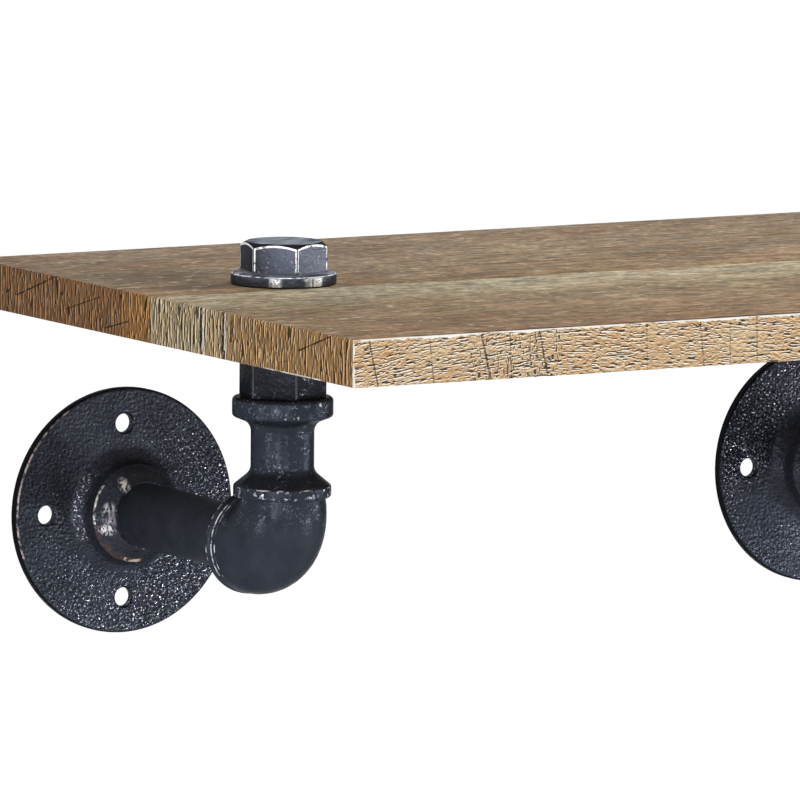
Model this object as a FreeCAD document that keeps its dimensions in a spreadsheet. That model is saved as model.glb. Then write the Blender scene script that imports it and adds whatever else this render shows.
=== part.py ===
import FreeCAD, Part
import math
import os
import re
import Sketcher

# A wall shelf: one laminated board carried by two brackets made of cast pipe fittings.
#
# Frame, in millimetres: the origin lies on the wall, midway between the two brackets, at the
# height of their wall nipples. +X runs to the right along the wall, +Y into the wall, so the
# front of the shelf looks along -Y, and +Z is up.
#
# Each bracket, from the wall outwards: a round flange, a nipple that screws into it, an elbow
# that turns the run upwards, a waisted spool with a threaded spigot at each end, a hexagonal
# sleeve under the board, and a flanged cap whose threaded shank passes down through the board
# into that sleeve and clamps the board between the two.

SIZES = {
    # The board, over its laminates and edge bands. Its rear edge lies on the wall.
    "board_length": 386.0,
    "board_depth": 254.0,
    "board_thickness": 15.0,
    "laminate_thickness": 0.4,
    "band_thickness": 0.8,
    "board_hole_diameter": 22.0,
    # How far the board runs past each bracket, and how far the risers stand off the wall.
    "board_overhang": 57.0,
    "riser_offset": 109.0,
    # Half-inch pipe, and the thread that every joint of a bracket shares.
    "pipe_diameter": 21.3,
    "pipe_bore": 15.8,
    "thread_diameter": 20.4,
    "thread_clearance": 0.05,
    "thread_lead": 1.2,
    "thread_engagement": 10.0,
    "socket_relief": 0.8,
    # The round wall flange: a plate, a hub with a filleted root, and a coned nose.
    "flange_diameter": 81.8,
    "flange_thickness": 3.5,
    "flange_rim_round": 1.0,
    "bolt_circle": 58.0,
    "bolt_hole_diameter": 6.2,
    "bolt_hole_count": 4,
    "hub_diameter": 32.4,
    "hub_height": 12.0,
    "hub_root_round": 4.0,
    "nose_diameter": 23.4,
    "nose_height": 18.0,
    "nipple_wall_gap": 1.5,
    # The elbow, from where its two axes cross to the face of each port. Its body tapers.
    "elbow_run": 22.5,
    "elbow_rise": 17.2,
    "elbow_inlet_diameter": 33.2,
    "elbow_outlet_diameter": 28.2,
    "elbow_bend_radius": 17.0,
    "elbow_bead_reach": 0.4,
    "elbow_bead_width": 3.2,
    # The waisted spool: two bands, and a flare from each down to the neck.
    "spool_height": 32.7,
    "spool_lower_diameter": 31.8,
    "spool_lower_band": 3.8,
    "spool_upper_diameter": 32.8,
    "spool_upper_band": 6.3,
    "spool_lower_flare": 4.6,
    "spool_upper_flare": 2.4,
    "spool_neck_diameter": 20.6,
    "spool_neck_round": 4.0,
    "spool_band_round": 1.3,
    "spool_bore": 13.0,
    # The hexagon that the sleeve and the cap share.
    "hex_across_flats": 25.1,
    "hex_corner_turn": 18.0,
    "hex_edge_round": 1.2,
    "sleeve_height": 21.6,
    # The flanged cap on top of the board.
    "cap_flange_diameter": 34.2,
    "cap_flange_height": 3.9,
    "cap_flange_round": 0.8,
    "cap_hex_height": 9.9,
    "cap_face_diameter": 24.0,
    "cap_crown_angle": 30.0,
}

HEX_SIDES = 6
FULL_TURN = 360
HALF_TURN = 180
QUARTER_TURN = 90
BEND_STEPS = 6
TOLERANCE = 0.001

# Lengths and angles that several pieces share, as formulas of the sizes above.
BRACKET_REACH = "(board_length / 2 - board_overhang)"
THREAD_RADIUS = "thread_diameter / 2"
SOCKET_RADIUS = "thread_diameter / 2 + thread_clearance"
ELBOW_INLET = "riser_offset - elbow_run"
SPOOL_FOOT = "elbow_rise"
SPOOL_TOP = SPOOL_FOOT + " + spool_height"
BOARD_UNDERSIDE = SPOOL_TOP + " + sleeve_height"
BOARD_TOP = BOARD_UNDERSIDE + " + board_thickness"
LEFT_HEX_TURN = "hex_corner_turn"
RIGHT_HEX_TURN = "%d - hex_corner_turn" % HALF_TURN

X_AXIS = FreeCAD.Vector(1, 0, 0)
Y_AXIS = FreeCAD.Vector(0, 1, 0)
Z_AXIS = FreeCAD.Vector(0, 0, 1)
doc = FreeCAD.newDocument("PipeShelf")
pieces = []


# ---------------------------------------------------------------- sheet and expressions


def make_sheet():
    """One row per driving dimension: its name, and its value under the same alias."""
    sheet = doc.addObject("Spreadsheet::Sheet", "Sizes")
    for row, (name, value) in enumerate(SIZES.items(), start=1):
        sheet.set("A%d" % row, name)
        sheet.set("B%d" % row, "%g" % value)
        sheet.setAlias("B%d" % row, name)
    doc.recompute()


def formula(text):
    """The same formula with each size's name pointing at its cell in the sheet."""
    return re.sub(r"[a-z_]+", lambda word: cell(word.group()), text)


def cell(word):
    return "Sizes." + word if word in SIZES else word


def bind(thing, **formulas):
    """Bind properties to formulas; x, y and z stand for the piece's place."""
    for name, text in formulas.items():
        target = "Placement.Base." + name if name in ("x", "y", "z") else name
        thing.setExpression(target, formula(text))


# ---------------------------------------------------------------- sketches and bodies


def new_body(label):
    body = doc.addObject("PartDesign::Body", label)
    body.Label = label
    pieces.append(body)
    return body


def origin_item(body, role):
    """The body's own origin plane or axis of that role."""
    return [item for item in body.Origin.OriginFeatures if item.Role == role][0]


def new_sketch(body, name, role):
    """An empty sketch on one of the body's own origin planes."""
    sketch = body.newObject("Sketcher::SketchObject", name)
    sketch.AttachmentSupport = [(origin_item(body, role), "")]
    sketch.MapMode = "FlatFace"
    return sketch


def pin_point(sketch, name, geometry, point, across, up):
    """Hold one point of a sketch at two formulas, measured from the sketch's origin."""
    for kind, suffix, text in (("DistanceX", "across", across), ("DistanceY", "up", up)):
        place = sketch.getPoint(geometry, point)
        datum = place.x if kind == "DistanceX" else place.y
        index = sketch.addConstraint(Sketcher.Constraint(kind, -1, 1, geometry, point, datum))
        sketch.renameConstraint(index, name + "_" + suffix)
        sketch.setExpression("Constraints." + name + "_" + suffix, formula(text))


def draw_outline(sketch, corners):
    """A closed outline of straight edges, each corner given as two formulas."""
    count = len(corners)
    turn = 2 * math.pi / count
    ring = [FreeCAD.Vector(math.cos(turn * k), math.sin(turn * k), 0) for k in range(count)]
    for k in range(count):
        sketch.addGeometry(Part.LineSegment(ring[k], ring[(k + 1) % count]), False)
    for k in range(count):
        sketch.addConstraint(Sketcher.Constraint("Coincident", k, 2, (k + 1) % count, 1))
    for k, (across, up) in enumerate(corners):
        pin_point(sketch, "corner_%d" % k, k, 1, across, up)


def draw_circle(sketch, name, across, up, radius):
    index = sketch.addGeometry(Part.Circle(FreeCAD.Vector(1, 1, 0), Z_AXIS, 1), False)
    pin_point(sketch, name, index, 3, across, up)
    datum = sketch.addConstraint(Sketcher.Constraint("Radius", index, 1.0))
    sketch.renameConstraint(datum, name + "_radius")
    sketch.setExpression("Constraints." + name + "_radius", formula(radius))


def turned(body, name, role, corners):
    """A solid of revolution about the vertical axis of its sketch."""
    sketch = new_sketch(body, name + "_outline", role)
    draw_outline(sketch, corners)
    solid = body.newObject("PartDesign::Revolution", name)
    solid.Profile = sketch
    solid.ReferenceAxis = (sketch, ["V_Axis"])
    solid.Angle = FULL_TURN
    doc.recompute()
    return sketch, solid


def round_rings(body, name, base, sketch, corners, axis, radius):
    """Fillet the rings that the given corners of a turned outline have drawn."""
    wanted = [sketch.Geometry[k].StartPoint for k in corners]
    edges = []
    for index, edge in enumerate(base.Shape.Edges, start=1):
        if not isinstance(edge.Curve, Part.Circle):
            continue
        ring = FreeCAD.Vector(edge.Curve.Radius, edge.Curve.Center.dot(axis), 0)
        if any(ring.distanceToPoint(point) < TOLERANCE for point in wanted):
            edges.append("Edge%d" % index)
    if len(edges) < len(corners):
        raise RuntimeError(body.Label + ": " + name + " found too few rings")
    fillet = body.newObject("PartDesign::Fillet", name)
    fillet.Base = (base, edges)
    bind(fillet, Radius=radius)
    doc.recompute()
    return fillet


def cut_away(body, tool, before):
    """Check that a cutting feature has removed something."""
    doc.recompute()
    if tool.Shape.Volume > before - TOLERANCE:
        raise RuntimeError(body.Label + ": " + tool.Name + " cuts nothing")
    return tool


# ---------------------------------------------------------------- primitives and booleans


def cylinder(name, radius, height, axis=Z_AXIS, **place):
    """A cylinder that starts at its place and runs along the given axis."""
    rod = doc.addObject("Part::Cylinder", name)
    rod.Placement.Rotation = FreeCAD.Rotation(Z_AXIS, axis)
    bind(rod, Radius=radius, Height=height, **place)
    return rod


def joined(name, *solids):
    fuse = doc.addObject("Part::MultiFuse", name)
    fuse.Shapes = list(solids)
    return fuse


def cut(name, base, tool):
    result = doc.addObject("Part::Cut", name)
    result.Base = base
    result.Tool = tool
    return result


def finished(thing, label):
    thing.Label = label
    pieces.append(thing)
    return thing


# ---------------------------------------------------------------- the pieces of a bracket


def wall_flange(label, across):
    """Round plate, hub and coned nose turned about the pipe's axis, with four bolt holes."""
    body = new_body(label)
    sketch, disc = turned(body, label + "_casting", "XY_Plane", [
        (SOCKET_RADIUS, "0"),
        ("flange_diameter / 2", "0"),
        ("flange_diameter / 2", "-flange_thickness"),
        ("hub_diameter / 2", "-flange_thickness"),
        ("hub_diameter / 2", "-hub_height"),
        ("nose_diameter / 2", "-nose_height"),
        (SOCKET_RADIUS, "-nose_height"),
    ])
    rim = round_rings(body, label + "_rim", disc, sketch, [2], Y_AXIS, "flange_rim_round")
    root = round_rings(body, label + "_root", rim, sketch, [3], Y_AXIS, "hub_root_round")
    drill = new_sketch(body, label + "_hole_centre", "XZ_Plane")
    draw_circle(drill, "hole", "0", "bolt_circle / 2", "bolt_hole_diameter / 2")
    hole = body.newObject("PartDesign::Pocket", label + "_hole")
    hole.Profile = drill
    hole.Type = "ThroughAll"
    hole.Midplane = True
    cut_away(body, hole, root.Shape.Volume)
    ring = body.newObject("PartDesign::PolarPattern", label + "_holes")
    ring.Originals = [hole]
    ring.Axis = (origin_item(body, "Y_Axis"), [""])
    ring.Angle = FULL_TURN
    bind(ring, Occurrences="bolt_hole_count")
    body.Tip = ring
    cut_away(body, ring, hole.Shape.Volume)
    bind(body, x=across)


def wall_nipple(label, across):
    """Straight pipe with a thread at each end, from just off the wall into the elbow."""
    body = new_body(label)
    wall_end = "-nipple_wall_gap"
    elbow_end = "-(" + ELBOW_INLET + " + thread_engagement)"
    turned(body, label + "_pipe", "XY_Plane", [
        ("pipe_bore / 2", wall_end),
        (THREAD_RADIUS + " - thread_lead", wall_end),
        (THREAD_RADIUS, wall_end + " - thread_lead"),
        (THREAD_RADIUS, "-nose_height"),
        ("pipe_diameter / 2", "-nose_height"),
        ("pipe_diameter / 2", "-(" + ELBOW_INLET + ")"),
        (THREAD_RADIUS, "-(" + ELBOW_INLET + ")"),
        (THREAD_RADIUS, elbow_end + " + thread_lead"),
        (THREAD_RADIUS + " - thread_lead", elbow_end),
        ("pipe_bore / 2", elbow_end),
    ])
    bind(body, x=across)


def waterway_bend(name):
    """A quarter ring of the pipe's bore, whose centre line joins the elbow's two axes."""
    ring = doc.addObject("Part::Torus", name)
    ring.Angle3 = QUARTER_TURN
    ring.Placement.Rotation = FreeCAD.Rotation(-Z_AXIS, -Y_AXIS, -X_AXIS, "ZXY")
    bind(ring, Radius1="elbow_bend_radius", Radius2="pipe_bore / 2")
    bind(ring, y="-(riser_offset - elbow_bend_radius)", z="elbow_bend_radius")
    return ring


def ring_section(name, radius, turn, y, z):
    """A circle square to the elbow's centre line, turn degrees past the inlet's axis."""
    ring = doc.addObject("Part::Circle", name)
    ring.Placement.Rotation = FreeCAD.Rotation(X_AXIS, QUARTER_TURN - turn)
    bind(ring, Radius=radius, y=y, z=z)
    return ring


def elbow_bend(label):
    """The elbow's bend, lofted through circles that shrink from its inlet to its outlet."""
    sections = []
    for step in range(BEND_STEPS):
        turn = QUARTER_TURN * step / BEND_STEPS
        shrink = "(elbow_inlet_diameter - elbow_outlet_diameter) / 2"
        radius = "elbow_inlet_diameter / 2 - %s * (%d / %d)^2" % (shrink, step, BEND_STEPS)
        y = "-(riser_offset - elbow_bend_radius * (1 - sin(%g)))" % turn
        z = "elbow_bend_radius * (1 - cos(%g))" % turn
        sections.append(ring_section("%s_section_%d" % (label, step), radius, turn, y, z))
    sections.append(ring_section(label + "_outlet_face", "elbow_outlet_diameter / 2",
                                 QUARTER_TURN, "-riser_offset", "elbow_rise"))
    bend = doc.addObject("Part::Loft", label + "_bend")
    bend.Sections = sections
    bend.Solid = True
    return bend


def elbow(label, across):
    """Ninety degree elbow: a tapered bend with a rolled bead at the inlet, and two sockets."""
    socket_depth = "thread_engagement + socket_relief"
    run = cylinder(label + "_run", "elbow_inlet_diameter / 2", "elbow_run - elbow_bend_radius",
                   -Y_AXIS, y="-(" + ELBOW_INLET + ")")
    bead = doc.addObject("Part::Torus", label + "_bead")
    bead.Placement.Rotation = FreeCAD.Rotation(Z_AXIS, Y_AXIS)
    bind(bead, Radius1="elbow_inlet_diameter / 2 + elbow_bead_reach - elbow_bead_width / 2")
    bind(bead, Radius2="elbow_bead_width / 2")
    bind(bead, y="-(" + ELBOW_INLET + " + elbow_bead_width / 2)")
    casting = joined(label + "_casting", run, elbow_bend(label), bead)
    inlet = cylinder(label + "_inlet", SOCKET_RADIUS, socket_depth, -Y_AXIS,
                     y="-(" + ELBOW_INLET + ")")
    outlet = cylinder(label + "_outlet", SOCKET_RADIUS, socket_depth, -Z_AXIS,
                      y="-riser_offset", z="elbow_rise")
    hollow = joined(label + "_hollow", inlet, outlet, waterway_bend(label + "_waterway"))
    bind(finished(cut(label, casting, hollow), label), x=across)


def spool(label, across):
    """Waisted spool: a band at each end, flared to the neck, and a spigot past each band."""
    body = new_body(label)
    foot = "spool_lower_band"
    head = "spool_height - spool_upper_band"
    neck = "spool_neck_diameter / 2"
    sketch, turning = turned(body, label + "_turning", "XZ_Plane", [
        ("spool_bore / 2", "-thread_engagement"),
        (THREAD_RADIUS + " - thread_lead", "-thread_engagement"),
        (THREAD_RADIUS, "-thread_engagement + thread_lead"),
        (THREAD_RADIUS, "0"),
        ("spool_lower_diameter / 2", "0"),
        ("spool_lower_diameter / 2", foot),
        (neck, foot + " + spool_lower_flare"),
        (neck, head + " - spool_upper_flare"),
        ("spool_upper_diameter / 2", head),
        ("spool_upper_diameter / 2", "spool_height"),
        (THREAD_RADIUS, "spool_height"),
        (THREAD_RADIUS, "spool_height + thread_engagement - thread_lead"),
        (THREAD_RADIUS + " - thread_lead", "spool_height + thread_engagement"),
        ("spool_bore / 2", "spool_height + thread_engagement"),
    ])
    waist = round_rings(body, label + "_neck", turning, sketch, [6, 7], Z_AXIS,
                        "spool_neck_round")
    round_rings(body, label + "_bands", waist, sketch, [4, 5, 8, 9], Z_AXIS,
                "spool_band_round")
    bind(body, x=across, y="-riser_offset", z=SPOOL_FOOT)


def hexagon(body, label, height, turn):
    """A hexagonal block with softened upright edges, turned so that a corner lies at turn."""
    sketch = new_sketch(body, label + "_hexagon", "XY_Plane")
    reach = "hex_across_flats / (2 * cos(%g))" % (HALF_TURN / HEX_SIDES)
    corners = []
    for side in range(HEX_SIDES):
        angle = "(%s + %d)" % (turn, side * FULL_TURN // HEX_SIDES)
        corners.append((reach + " * cos" + angle, reach + " * sin" + angle))
    draw_outline(sketch, corners)
    block = body.newObject("PartDesign::Pad", label + "_block")
    block.Profile = sketch
    bind(block, Length=height)
    doc.recompute()
    upright = ["Edge%d" % index for index, edge in enumerate(block.Shape.Edges, start=1)
               if len(edge.Vertexes) == 2 and is_corner(edge)]
    softened = body.newObject("PartDesign::Fillet", label + "_edges")
    softened.Base = (block, upright)
    bind(softened, Radius="hex_edge_round")
    doc.recompute()
    return softened


def is_corner(edge):
    """Is this one of the hexagon's upright edges?"""
    first, second = (vertex.Point for vertex in edge.Vertexes)
    return math.hypot(first.x - second.x, first.y - second.y) < TOLERANCE


def hex_sleeve(label, across, turn):
    """Hexagonal sleeve, threaded right through, that the board sits on."""
    body = new_body(label)
    block = hexagon(body, label, "sleeve_height", turn)
    drill = new_sketch(body, label + "_bore_centre", "XY_Plane")
    draw_circle(drill, "bore", "0", "0", SOCKET_RADIUS)
    bore = body.newObject("PartDesign::Pocket", label + "_bore")
    bore.Profile = drill
    bore.Type = "ThroughAll"
    bore.Midplane = True
    cut_away(body, bore, block.Shape.Volume)
    bind(body, x=across, y="-riser_offset", z=SPOOL_TOP)


def flanged_cap(label, across, turn):
    """Hexagon head on a round flange, with a threaded shank down through the board."""
    body = new_body(label)
    head = "cap_flange_height + cap_hex_height"
    shank = "(board_thickness + thread_engagement)"
    crown_run = "(cap_flange_diameter - cap_face_diameter) / 2"
    block = hexagon(body, label, head, turn)
    sketch = new_sketch(body, label + "_crown_outline", "XZ_Plane")
    draw_outline(sketch, [
        ("cap_face_diameter / 2", head),
        ("cap_flange_diameter / 2", head),
        ("cap_flange_diameter / 2", head + " - " + crown_run + " * tan(cap_crown_angle)"),
    ])
    crown = body.newObject("PartDesign::Groove", label + "_crown")
    crown.Profile = sketch
    crown.ReferenceAxis = (sketch, ["V_Axis"])
    crown.Angle = FULL_TURN
    cut_away(body, crown, block.Shape.Volume)
    outline, turning = turned(body, label + "_turning", "XZ_Plane", [
        ("0", "-" + shank),
        (THREAD_RADIUS + " - thread_lead", "-" + shank),
        (THREAD_RADIUS, "-" + shank + " + thread_lead"),
        (THREAD_RADIUS, "0"),
        ("cap_flange_diameter / 2", "0"),
        ("cap_flange_diameter / 2", "cap_flange_height"),
        ("0", "cap_flange_height"),
    ])
    round_rings(body, label + "_flange_edge", turning, outline, [5], Z_AXIS,
                "cap_flange_round")
    bind(body, x=across, y="-riser_offset", z=BOARD_TOP)


def bracket(side, across, turn):
    """The six pieces of one bracket; turn sets where the corners of its hexagons point."""
    wall_flange(side + "_wall_flange", across)
    wall_nipple(side + "_wall_nipple", across)
    elbow(side + "_elbow", across)
    spool(side + "_riser_spool", across)
    hex_sleeve(side + "_hex_sleeve", across, turn)
    flanged_cap(side + "_flanged_cap", across, turn)


# ---------------------------------------------------------------- the board


def slab(name, length, width, height, **place):
    box = doc.addObject("Part::Box", name)
    bind(box, Length=length, Width=width, Height=height, **place)
    return box


def drilled_layer(label, bottom, thickness):
    """One layer inside the edge bands, drilled for the shanks of both caps."""
    layer = slab(label + "_sheet", "board_length - 2 * band_thickness",
                 "board_depth - 2 * band_thickness", thickness,
                 x="-(board_length / 2 - band_thickness)", y="-(board_depth - band_thickness)",
                 z=bottom)
    holes = [cylinder(label + "_hole_" + side, "board_hole_diameter / 2", thickness,
                      x=across, y="-riser_offset", z=bottom)
             for side, across in (("left", "-" + BRACKET_REACH), ("right", BRACKET_REACH))]
    finished(cut(label, layer, joined(label + "_holes", *holes)), label)


def side_band(label, across):
    """A strip over one end of the board, between the front and the rear band."""
    finished(slab(label, "band_thickness", "board_depth - 2 * band_thickness",
                  "board_thickness", x=across, y="-(board_depth - band_thickness)",
                  z=BOARD_UNDERSIDE), label)


def long_band(label, depth_wise):
    """A strip along the whole length of the board."""
    finished(slab(label, "board_length", "band_thickness", "board_thickness",
                  x="-board_length / 2", y=depth_wise, z=BOARD_UNDERSIDE), label)


def board():
    core_bottom = BOARD_UNDERSIDE + " + laminate_thickness"
    drilled_layer("board_core", core_bottom, "board_thickness - 2 * laminate_thickness")
    drilled_layer("bottom_laminate", BOARD_UNDERSIDE, "laminate_thickness")
    drilled_layer("top_laminate", BOARD_TOP + " - laminate_thickness", "laminate_thickness")
    side_band("left_edge_band", "-board_length / 2")
    side_band("right_edge_band", "board_length / 2 - band_thickness")
    long_band("front_edge_band", "-board_depth")
    long_band("rear_edge_band", "-band_thickness")


# ---------------------------------------------------------------- check and write


def check():
    """Every object is up to date, and every piece is one valid solid."""
    failed = [thing.Label for thing in doc.Objects
              if "Invalid" in thing.State or "Error" in thing.State]
    if failed:
        raise RuntimeError("failed objects: " + ", ".join(failed))
    for piece in pieces:
        shape = piece.Shape
        if shape.isNull() or not shape.isValid() or len(shape.Solids) != 1:
            raise RuntimeError(piece.Label + " is not one valid solid")


def write():
    os.makedirs("parts", exist_ok=True)
    for piece in pieces:
        piece.Shape.exportStep(os.path.join("parts", piece.Label + ".step"))
        print("%-20s %9.1f mm3" % (piece.Label, piece.Shape.Volume))


make_sheet()
bracket("left", "-" + BRACKET_REACH, LEFT_HEX_TURN)
bracket("right", BRACKET_REACH, RIGHT_HEX_TURN)
board()
doc.recompute()
check()
write()
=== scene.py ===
# %% [markdown]
# # A board on pipe brackets, dressed over its CAD frame
# The object is a wall shelf: one wood-print board on two brackets made of black iron pipe
# fittings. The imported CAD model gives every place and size. This lesson makes the castings and
# the edge bands again with the roundings that a foundry and a laminator leave, and gives every
# piece the finish of the real one.

# %% Load the frame
import math

import bmesh
import bpy
from mathutils import Matrix, Vector


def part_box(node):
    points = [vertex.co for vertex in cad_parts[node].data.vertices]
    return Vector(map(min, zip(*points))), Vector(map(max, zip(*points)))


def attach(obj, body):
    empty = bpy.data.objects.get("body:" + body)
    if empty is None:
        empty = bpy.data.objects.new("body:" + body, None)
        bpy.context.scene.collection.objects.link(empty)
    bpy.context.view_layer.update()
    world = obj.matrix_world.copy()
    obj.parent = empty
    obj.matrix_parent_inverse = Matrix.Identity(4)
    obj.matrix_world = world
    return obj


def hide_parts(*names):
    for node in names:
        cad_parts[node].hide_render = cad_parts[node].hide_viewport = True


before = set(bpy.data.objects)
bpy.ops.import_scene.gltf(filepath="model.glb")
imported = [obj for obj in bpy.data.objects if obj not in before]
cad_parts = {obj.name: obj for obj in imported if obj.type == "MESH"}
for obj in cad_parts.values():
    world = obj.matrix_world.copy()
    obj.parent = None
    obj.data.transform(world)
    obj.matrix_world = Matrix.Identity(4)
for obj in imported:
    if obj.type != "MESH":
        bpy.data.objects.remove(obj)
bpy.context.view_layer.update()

# %% [markdown]
# ## The sizes that the drawing gives
# The drawing is in millimetres and Blender works in metres, so one factor turns every number.
# The places of the CAD nodes are printed, so that each new piece can be seen to land there.

# %% Sizes and places
MM = 0.001
BRACKET_AT = 136  # each bracket, from the middle of the board, mm
RISER_AT = -109  # the risers, off the wall, mm
END, DEPTH, TOP, BOTTOM = 193, 254, 86.5, 71.5  # the board's ends, depth and faces, mm
SOCKET = 10.25  # radius of every threaded hole, mm
BRACKET_X, RISER_Y = -BRACKET_AT * MM, RISER_AT * MM  # the left bracket and its riser
WALL = Vector((BRACKET_X, 0, 0))
RISER = Vector((BRACKET_X, RISER_Y, 0))
OUT = Vector((0, -1, 0))
UP = Vector((0, 0, 1))
for node in ("left_wall_flange", "left_elbow", "left_riser_spool", "left_flanged_cap"):
    low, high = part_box(node)
    print(node, "from", [round(v / MM, 1) for v in low], "to", [round(v / MM, 1) for v in high])


# %% [markdown]
# ## Turned shapes, ring by ring
# Flange, elbow, spool and cap are round castings. A lathe profile spun round an axis would do
# for three of them, but not for the elbow, whose rings also turn. So each one starts as a
# circle of edges that is extruded and resized again and again: the same few moves make them
# all, and the last ring is bridged to the first one, which leaves a closed wall.

# %% Start with nothing selected
def start_clean():
    """Object mode, nothing selected."""
    if bpy.context.mode != "OBJECT":
        bpy.ops.object.mode_set(mode="OBJECT")
    bpy.ops.object.select_all(action="DESELECT")


def pick(thing):
    """Only this object is selected and active."""
    start_clean()
    thing.select_set(True)
    bpy.context.view_layer.objects.active = thing


def name_it(name):
    """Names the new primitive and puts its turn and place into its mesh."""
    thing = bpy.context.object
    thing.name = thing.data.name = name
    bpy.ops.object.transform_apply(location=True, rotation=True, scale=True)
    return thing


# %% [markdown]
# A cast or machined corner is never sharp. The outline of a piece is written as corners, each
# with the radius of its rounding, and the function below lays the arc.

# %% Round the corners of an outline
def rounded(corners):
    """Corners are (radius, height, rounding) in mm; the answer is (radius, height) points."""
    points = []
    for at, (radius, height, rounding) in enumerate(corners):
        here = Vector((radius, height))
        if not rounding:
            points.append(here)
            continue
        back = (Vector(corners[at - 1][:2]) - here).normalized()
        on = (Vector(corners[(at + 1) % len(corners)][:2]) - here).normalized()
        half = back.angle(on) / 2
        middle = here + (back + on).normalized() * rounding / math.sin(half)
        first = here + back * rounding / math.tan(half) - middle
        last = here + on * rounding / math.tan(half) - middle
        steps = 8 if rounding > 1.5 else 5
        for step in range(steps + 1):
            points.append(middle + first.lerp(last, step / steps).normalized() * rounding)
    return points


# %% Rings
def first_ring(name, centre, radius, sides, along, solid=False):
    """A circle that looks along a direction: of edges, or a disc for a solid piece."""
    start_clean()
    bpy.ops.mesh.primitive_circle_add(
        vertices=sides, radius=radius * MM, fill_type="NGON" if solid else "NOTHING",
        location=centre, rotation=(math.pi / 2 if abs(along.y) > 0.5 else 0, 0, 0))
    ring = name_it(name)
    bpy.ops.object.mode_set(mode="EDIT")
    bpy.ops.mesh.select_mode(type="FACE" if solid else "EDGE")
    bpy.ops.mesh.select_all(action="SELECT")
    return ring


def next_ring(move, centre, size):
    """Extrudes the ring by move, then resizes it round its new centre."""
    bpy.ops.mesh.extrude_region_move(TRANSFORM_OT_translate={"value": move})
    bpy.ops.transform.resize(value=(size, size, size), center_override=centre)


def face_out():
    """Turns every face outwards and leaves edit mode."""
    bpy.ops.mesh.select_all(action="SELECT")
    bpy.ops.mesh.normals_make_consistent(inside=False)
    bpy.ops.object.mode_set(mode="OBJECT")


def close_wall():
    """Joins the two open ends into one closed wall that faces outwards."""
    bpy.ops.mesh.select_all(action="DESELECT")
    bpy.ops.mesh.select_non_manifold(extend=False)
    bpy.ops.mesh.bridge_edge_loops()
    face_out()


def run_rings(points, origin, along):
    """Runs the chosen ring through (radius, height) points in mm, heights along a direction."""
    for before, point in zip(points, points[1:]):
        next_ring(along * (point[1] - before[1]) * MM, origin + along * point[1] * MM,
                  point[0] / before[0])


def turned(name, points, origin, along, sides, solid=False):
    """A turned piece from (radius, height) points in mm: a closed wall, or solid, with no
    bore."""
    radius, height = points[0]
    piece = first_ring(name, origin + along * height * MM, radius, sides, along, solid)
    run_rings(points, origin, along)
    if solid:
        face_out()
    else:
        close_wall()
    return piece


def finish_shading(piece):
    """Smooth across roundings, crisp over real edges."""
    pick(piece)
    bpy.ops.object.shade_smooth_by_angle(angle=math.radians(32))
    print(piece.name, "has", len(piece.data.polygons), "faces")


def carve(piece, tool, how):
    """Cuts, joins or crosses the piece with a tool, which is then thrown away."""
    pick(piece)
    change = piece.modifiers.new(how.lower(), "BOOLEAN")
    change.operation = how
    change.object = tool
    change.solver = "EXACT"
    bpy.ops.object.modifier_apply(modifier=change.name)
    bpy.data.objects.remove(tool)


# %% [markdown]
# ## Wall flange
# A floor flange: a round plate cast in sand, with a hub that grows out of it in a soft fillet
# and ends in a coned nose, and four screw holes. The plate is turned as rings. The holes are
# punched by a pin that widens at both ends, because the real holes have a broken edge.

# %% Wall flange
RIM, HUB, SCREW_CIRCLE = 40.9, 16.4, 29  # radii, mm
flange_outline = rounded([
    (SOCKET, 0, 0), (RIM, 0, 0.6), (RIM, 3.5, 1.1), (16.8, 3.5, 5.4), (HUB, 11.5, 0.6),
    (15.5, 12.4, 0.4), (11.4, 18, 0.4), (SOCKET, 18, 0)])
flange = turned("left_wall_flange_casting", flange_outline, WALL, OUT, sides=256)

hole_outline = [(4.4, 4.4), (3.9, 3.6), (3.5, 3.3), (3.25, 2.95), (3.1, 2.4), (3.1, 0.9),
                (3.25, 0.3), (3.7, -0.2), (3.9, -1)]
for across, up in ((0, 1), (-1, 0), (0, -1), (1, 0)):
    place = WALL + Vector((across, 0, up)) * SCREW_CIRCLE * MM
    carve(flange, turned("screw_hole", hole_outline, place, OUT, 48, solid=True), "DIFFERENCE")
finish_shading(flange)

# %% [markdown]
# ## Elbow
# A malleable-iron elbow with a bead round its inlet. The run is a straight tube that turns
# upwards about a point above it, and narrows as it goes. A spin would keep its width, so the
# rings are extruded, turned about that point and resized one by one; inside, the same path is
# walked back as the waterway.

# %% Elbow
ROUND_SIDES = 128
ELBOW_STEPS = 14
OUTSIDE, MOUTH, WATERWAY = 16.7, 14.1, 6.2  # radius of the run, its end and its bore, mm
INLET = Vector((BRACKET_X, -86.5 * MM, 0))
OUTLET = Vector((BRACKET_X, RISER_Y, 17.2 * MM))


def round_bend(pivot, bend, radius_start, radius_end, turn):
    """Takes the chosen ring a quarter turn about a pivot, from one radius to the other.
    turn is 1 from the inlet up to the outlet and -1 on the way back."""
    step_turn = math.radians(90 / ELBOW_STEPS)
    for step in range(1, ELBOW_STEPS + 1):
        bpy.ops.mesh.extrude_region_move(TRANSFORM_OT_translate={"value": (0, 0, 0)})
        # with no window, rotate turns the other way round
        bpy.ops.transform.rotate(value=turn * step_turn, orient_axis="X", center_override=pivot)
        angle = step * step_turn if turn > 0 else math.pi / 2 - step * step_turn
        centre = pivot + Vector((0, -math.sin(angle), -math.cos(angle))) * bend
        before, now = [radius_start + (radius_end - radius_start) * (at / ELBOW_STEPS) ** 2
                       for at in (step - 1, step)]
        size = now / before
        bpy.ops.transform.resize(value=(size, size, size), center_override=centre)


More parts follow.
